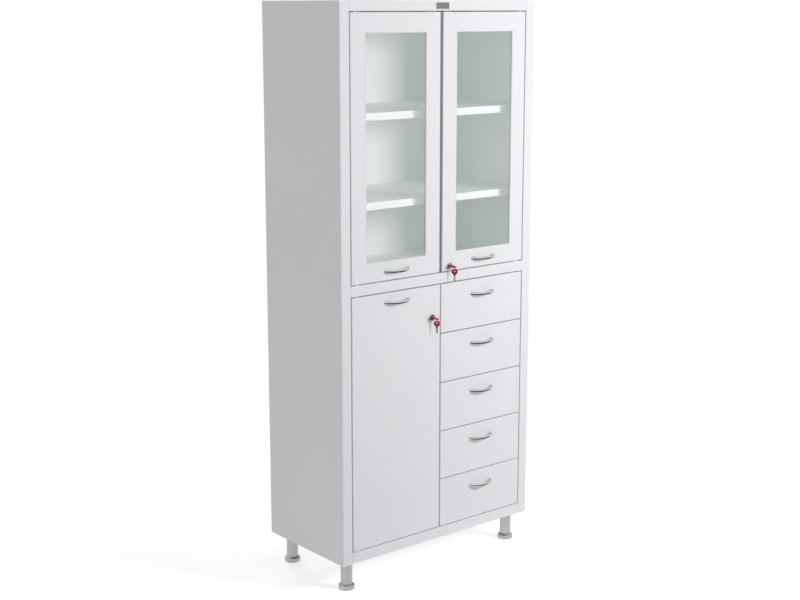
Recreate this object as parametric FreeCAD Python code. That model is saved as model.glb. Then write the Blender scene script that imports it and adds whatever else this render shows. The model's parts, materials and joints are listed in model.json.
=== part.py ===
import FreeCAD, Part
import math
import os

# Medicine cabinet in painted sheet steel on four legs, all sizes in millimetres.
# X runs to the right seen from the front, Y to the back, Z up from the floor.

# Body
WIDTH = 800.0
DEPTH = 400.0
BODY_HEIGHT = 1750.0
LEG_HEIGHT = 100.0
SHEET = 1.0
BEND = 1.0
CORNER = 5.0

# Front frame
SIDE_FACE = 37.0
TOP_FACE = 31.0
MIDDLE_FACE = 34.0
BASE_FACE = 36.0
POST_DEPTH = 25.0
RAIL_LIP = 24.0
REAR_FLANGE = 20.0

# Gaps between the moving fronts and the frame
HINGE_GAP = 4.0
LEVEL_GAP = 3.0
UPPER_GAP = 12.0
LOWER_GAP = 5.0

# Door leaves and drawer fronts
LEAF = 18.0
LEAF_EDGE = 2.0
RETURN = 12.0
DRAWER_RETURN = 25.0
STILE = 56.0
RAIL = 60.0
WINDOW_FOLD = 3.5
WINDOW_EDGE = 1.2
GLASS = 4.0
GLASS_LAP = 8.0
STRIP_DEPTH = 6.0
STRIP_LEG = 10.0
STRIP_GAP = 1.5

# Pivot hinges
PIVOT_IN = 22.0
PIN_RADIUS = 3.0
PIN_REACH = 10.0
PIN_HEAD_RADIUS = 6.0
PIN_HEAD = 3.0
WASHER_RADIUS = 7.0
WASHER_CLEAR = 0.3
PIN_CLEAR = 0.06

# Bow handles
HANDLE_PITCH = 96.0
HANDLE_REACH = 28.0
HANDLE_WIDTH = 11.0
HANDLE_THICK = 7.0
HANDLE_RUN_ON = 6.0
DOOR_HANDLE_IN = 30.0
DRAWER_HANDLE_IN = 48.0

# Cam locks and keys
LOCK_IN = 31.0
UPPER_LOCK_UP = 16.0
LOWER_LOCK_DOWN = 104.0
FACE_RADIUS = 11.0
FACE_PROUD = 2.5
FACE_CHAMFER = 0.8
HOUSING_RADIUS = 9.0
HOUSING_LENGTH = 20.0
NUT_RADIUS = 13.0
NUT_THICK = 4.0
PLUG_RADIUS = 5.5
PLUG_CLEAR = 0.06
TAIL_RADIUS = 3.5
CAM_SETBACK = 23.0
CAM_THICK = 2.0
CAM_LENGTH = 24.0
CAM_WIDTH = 14.0
CAM_NUT_RADIUS = 6.0
CAM_NUT = 3.0
CAM_PLAY = 2.0
KEYWAY_DEPTH = 18.0
KEY_PLAY = 0.15
BLADE_THICK = 1.8
BLADE_WIDTH = 7.0
BLADE_LENGTH = 18.0
BLADE_SHOWN = 6.0
HEAD_LENGTH = 17.0
HEAD_WIDTH = 20.0
HEAD_THICK = 4.0
HEAD_ROUND = 7.0
HOLE_IN = 6.0
HOLE_RADIUS = 3.0
KEY_TURN = -60.0
RING_RADIUS = 7.5
RING_WIRE = 0.8
RING_CLEAR = 0.3
RING_DOWN = 55.0
SPARE_TURN = 30.0
STRIKE_LIP = 8.0
STRIKE_LEG = 24.0
STRIKE_HEIGHT = 60.0

# Shelves, partition and drawer carriers
SHELF_HIGH = 520.0
SHELF_LOW = 245.0
LOWER_SHELF_UP = 400.0
SHELF_SETBACK = 36.0
SHELF_EDGE = 24.0
SHELF_FOLD = 20.0
SHELF_HEM = 12.0
SHELF_PLAY = 1.0
CLIP_WIDTH = 18.0
CLIP_REACH = 12.0
CLIP_DROP = 20.0
CLIP_IN = 40.0
SEAM_GAP = 0.8
PARTITION = 20.0
PARTITION_SETBACK = 20.0
UPRIGHT_WIDTH = 30.0
UPRIGHT_IN = 40.0
UPRIGHT_CLEAR = 1.0

# Drawers on three-member slides
DRAWERS = 5
TRAY_LIFT = 13.0
TRAY_HEADROOM = 28.0
TRAY_HEM = 6.0
SLIDE_WIDTH = 12.7
SLIDE_HALF = 22.5
SLIDE_SETBACK = 22.0
SLIDE_TAIL = 28.0
SLIDE_UP = 46.0
SLIDE_SHEET = 1.2
SLIDE_BEND = 0.6
SLIDE_CLEAR = 0.3
OUTER_DEEP = 9.5
MIDDLE_BACK = 3.5
MIDDLE_DEEP = 7.0
INNER_DEEP = 6.2

# Legs and levelling feet
LEG_IN = 50.0
LEG_RADIUS = 19.0
LEG_WALL = 2.0
LEG_PLATE_RADIUS = 35.0
LEG_PLATE = 2.5
LEG_BOSS = 20.0
FOOT_RADIUS = 26.0
FOOT_RIM = 14.0
FOOT_EDGE = 3.0
FOOT_HEIGHT = 20.0
FOOT_CLEAR = 0.3
STEM_RADIUS = 5.0
STEM_CLEAR = 0.06

# Places worked out from the sizes above
V = FreeCAD.Vector
HALF = WIDTH / 2
FRONT = (HANDLE_REACH - DEPTH) / 2
BACK = FRONT + DEPTH
BACK_IN = BACK - 2 * SHEET
WALL = HALF - SHEET
JAMB = HALF - SIDE_FACE
TOP = LEG_HEIGHT + BODY_HEIGHT
OPENING = (BODY_HEIGHT - TOP_FACE - MIDDLE_FACE - BASE_FACE) / 2
BASE_TOP = LEG_HEIGHT + BASE_FACE
RAIL_LOW = BASE_TOP + OPENING
DECK = RAIL_LOW + MIDDLE_FACE
TOP_RAIL = DECK + OPENING
LEAF_OUT = JAMB - HINGE_GAP
UPPER_IN = UPPER_GAP / 2
LOWER_IN = LOWER_GAP / 2
UPPER_LOW = DECK + LEVEL_GAP
UPPER_HIGH = TOP_RAIL - LEVEL_GAP
LOWER_LOW = BASE_TOP + LEVEL_GAP
LOWER_HIGH = RAIL_LOW - LEVEL_GAP
PIVOT_X = LEAF_OUT - PIVOT_IN
PIVOT_Y = FRONT + LEAF / 2
PART_FACE = PARTITION / 2
CARRIER_FACE = JAMB - UPRIGHT_CLEAR
TRAY_LEFT = PART_FACE + SLIDE_WIDTH
TRAY_RIGHT = CARRIER_FACE - SLIDE_WIDTH
SLIDE_LENGTH = DEPTH - SLIDE_SETBACK - SLIDE_TAIL
TRAY_BACK = FRONT + LEAF + SLIDE_LENGTH
FRONT_HEIGHT = (LOWER_HIGH - LOWER_LOW - (DRAWERS - 1) * LEVEL_GAP) / DRAWERS
UPPER_LOCK = (UPPER_IN + LOCK_IN, UPPER_LOW + UPPER_LOCK_UP)
LOWER_LOCK = (-UPPER_IN - LOCK_IN, LOWER_HIGH - LOWER_LOCK_DOWN)
HOLE_Y = FRONT - FACE_PROUD - BLADE_SHOWN - HEAD_LENGTH + HOLE_IN


def save(name, *solids):
    """Writes one node, a single solid or a group of separate solids."""
    shape = solids[0] if len(solids) == 1 else Part.makeCompound(list(solids))
    shape.exportStep("parts/" + name + ".step")


def block(x0, x1, y0, y1, z0, z1):
    """Plain block between three pairs of planes."""
    return Part.makeBox(x1 - x0, y1 - y0, z1 - z0, V(x0, y0, z0))


def lift(axis, point, along):
    """Point of a drawing plane placed in space, at a distance along its axis."""
    a, b = point
    return {"X": V(along, a, b), "Y": V(a, along, b), "Z": V(a, b, along)}[axis]


def left_normal(start, end):
    """Unit vector to the left of the way from start to end."""
    a, b = end[0] - start[0], end[1] - start[1]
    length = math.hypot(a, b)
    return (-b / length, a / length)


def beside(path, gap):
    """The same path moved to its left by the gap, with mitred corners."""
    normals = [left_normal(p, q) for p, q in zip(path, path[1:])]
    moved = []
    for spot, n, m in zip(path, normals[:1] + normals, normals + normals[-1:]):
        scale = gap / (1 + n[0] * m[0] + n[1] * m[1])
        moved.append((spot[0] + (n[0] + m[0]) * scale, spot[1] + (n[1] + m[1]) * scale))
    return moved


def trail(points, radii):
    """Straight and round edges through the points, one radius for each inner corner."""
    edges = []
    here = points[0]
    for before, at, after, radius in zip(points, points[1:], points[2:], radii):
        u = (at - before).normalize()
        w = (after - at).normalize()
        half_turn = u.getAngle(w) / 2
        start = at - u * (radius * math.tan(half_turn))
        end = at + w * (radius * math.tan(half_turn))
        middle = at + (w - u).normalize() * (radius / math.cos(half_turn) - radius)
        edges.append(Part.makeLine(here, start))
        edges.append(Part.Arc(start, middle, end).toShape())
        here = end
    edges.append(Part.makeLine(here, points[-1]))
    return edges


def sheet(path, axis, low, high, bends=None, thick=SHEET):
    """Bent sheet: a path across the axis with the sheet on its left, drawn along the axis."""
    bends = bends or [BEND] * (len(path) - 2)
    far = beside(path, thick)
    near_radii = []
    far_radii = []
    for first, second, third, bend in zip(path, path[1:], path[2:], bends):
        n, m = left_normal(first, second), left_normal(second, third)
        turns_left = n[0] * m[1] - n[1] * m[0] > 0
        near_radii.append(bend + thick if turns_left else bend)
        far_radii.append(bend if turns_left else bend + thick)
    near_points = [lift(axis, p, low) for p in path]
    far_points = [lift(axis, p, low) for p in far][::-1]
    edges = trail(near_points, near_radii)
    edges.append(Part.makeLine(near_points[-1], far_points[0]))
    edges += trail(far_points, far_radii[::-1])
    edges.append(Part.makeLine(far_points[-1], near_points[0]))
    face = Part.Face(Part.Wire(edges))
    return face.extrude(lift(axis, (0, 0), high - low))


def turned(points, place, direction):
    """Solid of revolution from (radius, along) points about a direction through a place."""
    side = V(1, 0, 0)
    corners = [place + side * r + direction * t for r, t in points]
    outline = Part.makePolygon(corners + corners[:1])
    return Part.Face(outline).revolve(place, direction, 360)


def mirrored(shape):
    """The same shape on the other side of the middle plane."""
    return shape.mirror(V(0, 0, 0), V(1, 0, 0))


def rounded_front(solid, radius):
    """Rounds the edges around the foremost face."""
    nearest = solid.BoundBox.YMin
    edges = [e for e in solid.Edges if e.BoundBox.YMax < nearest + SHEET / 10]
    return solid.makeFillet(radius, edges)


# Carcass

def side_panel():
    """Left side: one sheet folded into the front post and the rear flange."""
    path = [(-HALF + REAR_FLANGE, BACK), (-HALF, BACK), (-HALF, FRONT), (-JAMB, FRONT), (-JAMB, FRONT + POST_DEPTH)]
    return sheet(path, "Z", LEG_HEIGHT, TOP, [BEND, CORNER - SHEET, BEND])


def post_cap(z0):
    """Sheet that closes the left post and reaches the side panel, at one level."""
    inside = block(-WALL, -JAMB - SHEET - BEND, FRONT + SHEET, FRONT + POST_DEPTH, z0, z0 + SHEET)
    corner = [e for e in inside.Edges if e.BoundBox.XMax < -WALL + BEND and e.BoundBox.YMax < FRONT + SHEET + BEND]
    inside = inside.makeFillet(CORNER - SHEET, corner)
    return inside.fuse(side_wing(z0))


def side_wing(z0):
    """Sheet from behind the left post to the back, at one level."""
    return block(-WALL, -JAMB, FRONT + POST_DEPTH, BACK_IN, z0, z0 + SHEET)


def pin_hole(x, z0):
    """Cutter for a hinge pin through one sheet."""
    return Part.makeCylinder(PIN_RADIUS, SHEET, V(x, PIVOT_Y, z0))


def top_panel():
    """Top sheet with the folded top rail and its pin holes."""
    path = [(BACK_IN, TOP - REAR_FLANGE), (BACK_IN, TOP), (FRONT, TOP), (FRONT, TOP_RAIL), (FRONT + RAIL_LIP, TOP_RAIL)]
    cap = post_cap(TOP - SHEET)
    body = sheet(path, "X", -JAMB, JAMB).fuse([cap, mirrored(cap)])
    return body.cut([pin_hole(PIVOT_X, TOP_RAIL), pin_hole(-PIVOT_X, TOP_RAIL)])


def base_pan():
    """Underside sheet with the folded base rail."""
    low = LEG_HEIGHT
    path = [(FRONT + RAIL_LIP, BASE_TOP), (FRONT, BASE_TOP), (FRONT, low), (BACK_IN, low), (BACK_IN, low + REAR_FLANGE)]
    cap = post_cap(low)
    body = sheet(path, "X", -JAMB, JAMB).fuse([cap, mirrored(cap)])
    return body.cut(pin_hole(-PIVOT_X, BASE_TOP - SHEET))


def floor_panel():
    """Floor of the lower section, standing on the base pan by its folds."""
    near, far = FRONT + POST_DEPTH, BACK_IN - SHEET - BEND
    foot = LEG_HEIGHT + SHEET
    path = [(far, foot), (far, BASE_TOP), (near, BASE_TOP), (near, foot)]
    return sheet(path, "X", -WALL, WALL)


def cam_slot():
    """Slot in the deck that the upper lock's cam drops into."""
    x, z = UPPER_LOCK
    near = FRONT + CAM_SETBACK - CAM_PLAY
    far = FRONT + CAM_SETBACK + CAM_THICK + CAM_PLAY
    reach = math.hypot(CAM_LENGTH, CAM_WIDTH / 2)
    wide = math.sqrt(reach ** 2 - (z - DECK) ** 2)
    return block(x - CAM_WIDTH / 2 - CAM_PLAY, x + wide + CAM_PLAY, near, far, DECK - SHEET, DECK)


def middle_deck():
    """Deck between the two sections with the folded middle rail."""
    path = [(BACK_IN, DECK - REAR_FLANGE), (BACK_IN, DECK), (FRONT, DECK), (FRONT, RAIL_LOW), (FRONT + RAIL_LIP, RAIL_LOW)]
    wing = side_wing(DECK - SHEET)
    body = sheet(path, "X", -JAMB, JAMB).fuse([wing, mirrored(wing)])
    holes = [pin_hole(PIVOT_X, DECK - SHEET), pin_hole(-PIVOT_X, DECK - SHEET), pin_hole(-PIVOT_X, RAIL_LOW)]
    return body.cut(holes + [cam_slot()])


def back_panels():
    """Back in two sheets that meet on the middle line."""
    edge = WALL - BEND
    left = block(-edge, -SEAM_GAP / 2, BACK_IN, BACK_IN + SHEET, LEG_HEIGHT, TOP)
    return left, mirrored(left)


def partition():
    """Hollow wall between the lower compartment and the drawers, with the lock strike."""
    near = FRONT + PARTITION_SETBACK
    path = [(-PART_FACE, BACK_IN), (-PART_FACE, near), (PART_FACE, near), (PART_FACE, BACK_IN)]
    wall = sheet(path, "Z", BASE_TOP, DECK - SHEET)
    notch = block(-PART_FACE, PART_FACE, near, FRONT + POST_DEPTH, RAIL_LOW, DECK)
    rear_notch = block(-PART_FACE, PART_FACE, BACK_IN - SHEET - BEND, BACK_IN, DECK - REAR_FLANGE, DECK)
    face = -PART_FACE
    hook = [(face - STRIKE_LIP, near), (face, near), (face, near + STRIKE_LEG)]
    z = LOWER_LOCK[1]
    strike = sheet(hook, "Z", z - STRIKE_HEIGHT / 2, z + STRIKE_HEIGHT / 2)
    return wall.cut([notch, rear_notch]).fuse(strike)


def uprights():
    """Two channels on the right side that carry the drawer slides."""
    near = FRONT + UPRIGHT_IN
    far = FRONT + SLIDE_SETBACK + SLIDE_LENGTH - UPRIGHT_IN
    made = []
    for y in (near, far - UPRIGHT_WIDTH):
        end = y + UPRIGHT_WIDTH
        path = [(WALL, end), (CARRIER_FACE, end), (CARRIER_FACE, y), (WALL, y)]
        made.append(sheet(path, "Z", BASE_TOP, DECK - SHEET))
    return made


def shelf(left, right, top):
    """Shelf pressed from sheet, folded down on all four sides."""
    near, far = FRONT + SHELF_SETBACK, BACK_IN - SHELF_PLAY
    low = top - SHELF_EDGE
    path = [(far, top - SHELF_FOLD), (far, top), (near, top), (near, low), (near + SHELF_HEM, low)]
    body = sheet(path, "X", left, right)
    flanges = []
    for x in (left, right - SHEET):
        flanges.append(block(x, x + SHEET, near + SHELF_HEM, far - BEND, top - SHELF_FOLD, top - SHEET / 2))
    return body.fuse(flanges).removeSplitter()


def shelf_spans():
    """Left end, right end and top of each shelf."""
    upper = WALL - SHELF_PLAY
    low_right = -PART_FACE - SHELF_PLAY
    return [(-upper, upper, DECK + SHELF_HIGH), (-upper, upper, DECK + SHELF_LOW),
            (-upper, low_right, BASE_TOP + LOWER_SHELF_UP)]


def clip(wall, side, seat, y):
    """Angle clip on a wall, carrying a shelf fold; side is the way it points."""
    path = [(wall + side * CLIP_REACH, seat), (wall, seat), (wall, seat - CLIP_DROP)]
    return sheet(path if side > 0 else path[::-1], "Y", y, y + CLIP_WIDTH)


def shelf_clips():
    """Four clips for every shelf."""
    near = FRONT + SHELF_SETBACK + CLIP_IN
    far = BACK_IN - CLIP_IN - CLIP_WIDTH
    made = []
    for left, right, top in shelf_spans():
        seat = top - SHELF_FOLD
        for y in (near, far):
            made.append(clip(left - SHELF_PLAY, 1, seat, y))
            made.append(clip(right + SHELF_PLAY, -1, seat, y))
    return made


# Hinges, legs and feet

def hinge_pin(x, rail, up):
    """Pin held in a rail sheet with a washer in the gap; up is the way it points."""
    head = -SHEET - PIN_HEAD
    washer = LEVEL_GAP - WASHER_CLEAR
    tip = LEVEL_GAP + PIN_REACH
    points = [(0, head), (PIN_HEAD_RADIUS, head), (PIN_HEAD_RADIUS, -SHEET), (PIN_RADIUS, -SHEET), (PIN_RADIUS, 0),
              (WASHER_RADIUS, 0), (WASHER_RADIUS, washer), (PIN_RADIUS, washer), (PIN_RADIUS, tip), (0, tip)]
    return turned(points, V(x, PIVOT_Y, rail), V(0, 0, up))


def hinge_pins():
    """Top and bottom pins of the three doors."""
    places = [(-PIVOT_X, TOP_RAIL, -1), (-PIVOT_X, DECK, 1), (PIVOT_X, TOP_RAIL, -1), (PIVOT_X, DECK, 1),
              (-PIVOT_X, RAIL_LOW, -1), (-PIVOT_X, BASE_TOP, 1)]
    return [hinge_pin(*place) for place in places]


def leg_places():
    """Name and place of each leg."""
    x = HALF - LEG_IN
    near, far = FRONT + LEG_IN, BACK - LEG_IN
    return {"front_left": V(-x, near, 0), "front_right": V(x, near, 0), "rear_left": V(-x, far, 0), "rear_right": V(x, far, 0)}


def leg(place):
    """Tube leg with a mounting plate and a threaded end."""
    bore = STEM_RADIUS + STEM_CLEAR
    inner = LEG_RADIUS - LEG_WALL
    boss = FOOT_HEIGHT + LEG_BOSS
    under = LEG_HEIGHT - LEG_PLATE
    points = [(bore, FOOT_HEIGHT), (LEG_RADIUS, FOOT_HEIGHT), (LEG_RADIUS, under), (LEG_PLATE_RADIUS, under),
              (LEG_PLATE_RADIUS, LEG_HEIGHT), (inner, LEG_HEIGHT), (inner, boss), (bore, boss)]
    return turned(points, place, V(0, 0, 1))


def foot(place):
    """Levelling foot: collar with rounded rims and a flared shoulder, with a stem in the leg."""
    neck = FOOT_HEIGHT - FOOT_CLEAR
    tip = FOOT_HEIGHT + LEG_BOSS
    points = [(0, 0), (FOOT_RADIUS, 0), (FOOT_RADIUS, FOOT_RIM), (LEG_RADIUS, neck), (STEM_RADIUS, neck),
              (STEM_RADIUS, tip), (0, tip)]
    body = turned(points, place, V(0, 0, 1))
    rims = [e for e in body.Edges if e.BoundBox.ZMax < FOOT_RIM + FOOT_EDGE and e.BoundBox.XLength > FOOT_RADIUS]
    return body.makeFillet(FOOT_EDGE, rims)


# Door leaves, drawer fronts and handles

def leaf(x0, x1, z0, z1, lip):
    """Folded pan, closed on its front face, with a return of the given width at the back."""
    near, far = FRONT, FRONT + LEAF
    outer = rounded_front(block(x0, x1, near, far, z0, z1), LEAF_EDGE)
    hollow = block(x0 + SHEET, x1 - SHEET, near + SHEET, far - SHEET, z0 + SHEET, z1 - SHEET)
    mouth = block(x0 + lip, x1 - lip, far - 2 * SHEET, far, z0 + lip, z1 - lip)
    return outer.cut([rounded_front(hollow, LEAF_EDGE - SHEET), mouth])


def pivot_holes(x, low, high):
    """Cutters for the pin holes in the folded ends of a door."""
    radius = PIN_RADIUS + PIN_CLEAR
    return [Part.makeCylinder(radius, SHEET, V(x, PIVOT_Y, z)) for z in (low, high - SHEET)]


def lock_hole(lock):
    """Cutter for a lock housing through a door."""
    x, z = lock
    return Part.makeCylinder(HOUSING_RADIUS, LEAF, V(x, FRONT, z), V(0, 1, 0))


def window(x0, x1, grow, y0, y1):
    """Block over the window of an upper door, grown on every side."""
    low, high = UPPER_LOW + RAIL - grow, UPPER_HIGH - RAIL + grow
    return block(x0 + STILE - grow, x1 - STILE + grow, y0, y1, low, high)


def glazed_frame(x0, x1):
    """Upper door leaf with its folded window."""
    fold = window(x0, x1, SHEET, FRONT + SHEET / 2, FRONT + WINDOW_FOLD)
    pan = leaf(x0, x1, UPPER_LOW, UPPER_HIGH, RETURN).fuse(fold)
    pan = pan.cut(window(x0, x1, 0, FRONT, FRONT + LEAF))
    inside = [e for e in pan.Edges if e.BoundBox.YMax < FRONT + SHEET / 10 and e.BoundBox.XMin > x0 + STILE - SHEET
              and e.BoundBox.XMax < x1 - STILE + SHEET and e.BoundBox.ZMin > UPPER_LOW + RAIL - SHEET
              and e.BoundBox.ZMax < UPPER_HIGH - RAIL + SHEET]
    return pan.makeFillet(WINDOW_EDGE, inside)


def meeting_strip():
    """Recessed strip on the left door that closes the gap between the upper doors."""
    face = FRONT + STRIP_DEPTH
    low, high = UPPER_LOW + SHEET, UPPER_HIGH - SHEET
    path = [(-UPPER_IN, face + STRIP_LEG), (-UPPER_IN, face), (UPPER_IN - STRIP_GAP, face)]
    return sheet(path, "Z", low, high)


def glass(x0, x1):
    """Pane behind the folded window."""
    near = FRONT + WINDOW_FOLD
    return window(x0, x1, GLASS_LAP, near, near + GLASS)


def upper_left_frame():
    """Left upper door, without its lock, with the meeting strip."""
    pan = glazed_frame(-LEAF_OUT, -UPPER_IN)
    return pan.cut(pivot_holes(-PIVOT_X, UPPER_LOW, UPPER_HIGH)).fuse(meeting_strip())


def upper_right_frame():
    """Right upper door with its lock hole."""
    pan = glazed_frame(UPPER_IN, LEAF_OUT)
    return pan.cut(pivot_holes(PIVOT_X, UPPER_LOW, UPPER_HIGH) + [lock_hole(UPPER_LOCK)])


def lower_panel():
    """Lower left door with its lock hole."""
    pan = leaf(-LEAF_OUT, -LOWER_IN, LOWER_LOW, LOWER_HIGH, RETURN)
    return pan.cut(pivot_holes(-PIVOT_X, LOWER_LOW, LOWER_HIGH) + [lock_hole(LOWER_LOCK)])


def bow_handle(x, z):
    """Oval bar bent along an arc, its ends cut flat on the face."""
    half = HANDLE_PITCH / 2
    rise = HANDLE_REACH - HANDLE_THICK / 2
    radius = (half ** 2 + rise ** 2) / (2 * rise)
    middle = V(x, FRONT - rise + radius, z)
    spread = math.degrees(math.asin(half / radius)) + HANDLE_RUN_ON
    crest = middle - V(0, radius, 0)
    oval = Part.Ellipse(crest + V(0, 0, HANDLE_WIDTH / 2), crest + V(0, HANDLE_THICK / 2, 0), crest)
    section = Part.Face(Part.Wire(oval.toShape()))
    section.rotate(middle, V(0, 0, 1), -spread)
    bar = section.revolve(middle, V(0, 0, 1), 2 * spread)
    behind = block(x - HANDLE_PITCH, x + HANDLE_PITCH, FRONT, FRONT + HANDLE_PITCH, z - HANDLE_PITCH, z + HANDLE_PITCH)
    return bar.cut(behind)


# Locks and keys

def lock_housing(lock):
    """Lock housing with its face ring, and the nut behind the door sheet."""
    x, z = lock
    bore = PLUG_RADIUS + PLUG_CLEAR
    rim = FACE_RADIUS - FACE_CHAMFER
    shoulder = FACE_CHAMFER - FACE_PROUD
    points = [(bore, -FACE_PROUD), (rim, -FACE_PROUD), (FACE_RADIUS, shoulder), (FACE_RADIUS, 0),
              (HOUSING_RADIUS, 0), (HOUSING_RADIUS, HOUSING_LENGTH), (bore, HOUSING_LENGTH)]
    housing = turned(points, V(x, FRONT, z), V(0, 1, 0))
    near = FRONT + SHEET
    corners = []
    for i in range(7):
        angle = math.radians(60 * i)
        corners.append(V(x + NUT_RADIUS * math.cos(angle), near, z + NUT_RADIUS * math.sin(angle)))
    nut = Part.Face(Part.makePolygon(corners)).extrude(V(0, NUT_THICK, 0))
    return housing, nut.cut(Part.makeCylinder(HOUSING_RADIUS, NUT_THICK, V(x, near, z), V(0, 1, 0)))


def cam(lock, angle):
    """Cam plate with round ends on the tail of the plug, turned from pointing right."""
    x, z = lock
    near = FRONT + CAM_SETBACK
    half = CAM_WIDTH / 2
    reach = CAM_LENGTH - half
    ends = [V(0, near, half), V(reach, near, half), V(reach, near, -half), V(0, near, -half)]
    tip = Part.Arc(ends[1], V(CAM_LENGTH, near, 0), ends[2]).toShape()
    heel = Part.Arc(ends[3], V(-half, near, 0), ends[0]).toShape()
    outline = [Part.makeLine(ends[0], ends[1]), tip, Part.makeLine(ends[2], ends[3]), heel]
    plate = Part.Face(Part.Wire(outline)).extrude(V(0, CAM_THICK, 0))
    plate = plate.cut(Part.makeCylinder(TAIL_RADIUS, CAM_THICK, V(0, near, 0), V(0, 1, 0)))
    plate.rotate(V(0, 0, 0), V(0, 1, 0), -angle)
    return plate.translate(V(x, 0, z))


def lock_barrel(lock, cam_angle):
    """Plug with its keyway and tail, and the cam held on the tail."""
    x, z = lock
    tail = CAM_SETBACK + CAM_THICK
    points = [(0, -FACE_PROUD), (PLUG_RADIUS, -FACE_PROUD), (PLUG_RADIUS, CAM_SETBACK), (TAIL_RADIUS, CAM_SETBACK),
              (TAIL_RADIUS, tail), (CAM_NUT_RADIUS, tail), (CAM_NUT_RADIUS, tail + CAM_NUT), (0, tail + CAM_NUT)]
    plug = turned(points, V(x, FRONT, z), V(0, 1, 0))
    wide = BLADE_THICK / 2 + KEY_PLAY
    tall = BLADE_WIDTH / 2 + KEY_PLAY
    keyway = block(x - wide, x + wide, FRONT - FACE_PROUD, FRONT + KEYWAY_DEPTH, z - tall, z + tall)
    keyway.rotate(V(x, 0, z), V(0, 1, 0), KEY_TURN)
    return plug.cut(keyway), cam(lock, cam_angle)


def key():
    """Key drawn about its ring hole, with the blade along Y and the head upright."""
    half = HEAD_THICK / 2
    near, far = -HOLE_IN, HEAD_LENGTH - HOLE_IN
    head = block(-half, half, near, far, -HEAD_WIDTH / 2, HEAD_WIDTH / 2)
    corners = [e for e in head.Edges if e.BoundBox.XLength > half]
    head = head.makeFillet(HEAD_ROUND, corners)
    head = head.cut(Part.makeCylinder(HOLE_RADIUS, HEAD_THICK, V(-half, 0, 0), V(1, 0, 0)))
    thin = BLADE_THICK / 2
    tip = far + BLADE_SHOWN + BLADE_LENGTH
    blade = block(-thin, thin, far, tip, -BLADE_WIDTH / 2, BLADE_WIDTH / 2)
    bevel = [e for e in blade.Edges if e.BoundBox.YMin > tip - SHEET and e.BoundBox.XLength > thin]
    return head.fuse(blade.makeChamfer(BLADE_WIDTH / 3, bevel))


def key_in(lock):
    """Key standing in a lock, part turned."""
    made = key()
    made.rotate(V(0, 0, 0), V(0, 1, 0), KEY_TURN)
    made.translate(V(lock[0], HOLE_Y, lock[1]))
    return made


def ring_slack():
    """Height of the ring's wire above the middle of the spare key's hole, with the key turned on the ring."""
    turn = math.radians(SPARE_TURN)
    run = (HEAD_THICK / 2 + RING_WIRE * math.sin(turn)) / math.cos(turn)
    aside = run * math.sin(turn) + RING_WIRE * math.cos(turn)
    inner = RING_RADIUS - RING_WIRE
    rise = inner - math.sqrt(inner ** 2 - run ** 2)
    return math.sqrt((HOLE_RADIUS - RING_CLEAR) ** 2 - aside ** 2) - RING_WIRE - rise


def spare_key(lock):
    """Flat wire ring through the first key's hole with a second key hanging from it."""
    x, z = lock
    lean = math.radians(RING_DOWN)
    middle = V(x, HOLE_Y, z) + V(math.cos(lean), 0, -math.sin(lean)) * (RING_RADIUS + RING_CLEAR)
    inner, outer = RING_RADIUS - RING_WIRE, RING_RADIUS + RING_WIRE
    points = [(inner, -RING_WIRE), (outer, -RING_WIRE), (outer, RING_WIRE), (inner, RING_WIRE)]
    ring = turned(points, middle, V(0, 1, 0))
    made = key()
    made.rotate(V(0, 0, 0), V(1, 0, 0), -90)
    made.rotate(V(0, 0, 0), V(0, 0, 1), SPARE_TURN)
    made.translate(middle - V(0, 0, RING_RADIUS + ring_slack()))
    return ring, made


# Drawers

def drawer_low(number):
    """Bottom of a drawer front, counted from the top."""
    return LOWER_HIGH - number * FRONT_HEIGHT - (number - 1) * LEVEL_GAP


def drawer_front(number):
    """Drawer front pan."""
    low = drawer_low(number)
    return leaf(LOWER_IN, LEAF_OUT, low, low + FRONT_HEIGHT, DRAWER_RETURN)


def tray(number):
    """Drawer tray: two sides with folded edges, a bottom sheet on their lower folds and two end sheets."""
    low = drawer_low(number) + TRAY_LIFT
    high = drawer_low(number) + FRONT_HEIGHT - TRAY_HEADROOM
    near, far = FRONT + LEAF, TRAY_BACK
    path = [(TRAY_LEFT + TRAY_HEM, high), (TRAY_LEFT, high), (TRAY_LEFT, low), (TRAY_LEFT + TRAY_HEM, low)]
    left = sheet(path, "Y", near, far)
    path = [(TRAY_RIGHT - TRAY_HEM, low), (TRAY_RIGHT, low), (TRAY_RIGHT, high), (TRAY_RIGHT - TRAY_HEM, high)]
    right = sheet(path, "Y", near, far)
    inside = SHEET + BEND
    rest = low + 2 * SHEET
    bottom = block(TRAY_LEFT + inside, TRAY_RIGHT - inside, near, far, low + SHEET, rest)
    ends = []
    for y in (near, far - SHEET):
        ends.append(block(TRAY_LEFT + SHEET, TRAY_RIGHT - SHEET, y, y + SHEET, rest, high - inside))
    return [left, right, bottom] + ends


def channel(back, deep, number, half):
    """Slide member as a channel with its web at one plane, opening by a signed depth."""
    z = drawer_low(number) + TRAY_LIFT + SLIDE_UP
    near = FRONT + SLIDE_SETBACK
    path = [(back + deep, z + half), (back, z + half), (back, z - half), (back + deep, z - half)]
    bends = [SLIDE_BEND, SLIDE_BEND]
    path = path if deep > 0 else path[::-1]
    return sheet(path, "Y", near, near + SLIDE_LENGTH, bends, SLIDE_SHEET)


def slide_member(number, back, deep, half):
    """The left and right members of one kind for one drawer."""
    left = channel(PART_FACE + back, deep, number, half)
    right = channel(CARRIER_FACE - back, -deep, number, half)
    return [left, right]


def slide_outer(number):
    """Members fixed to the partition and the uprights."""
    return slide_member(number, 0, OUTER_DEEP, SLIDE_HALF)


def slide_middle(number):
    """Members that travel half as far as the drawer."""
    return slide_member(number, MIDDLE_BACK, MIDDLE_DEEP, SLIDE_HALF - SLIDE_SHEET - SLIDE_CLEAR)


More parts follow.
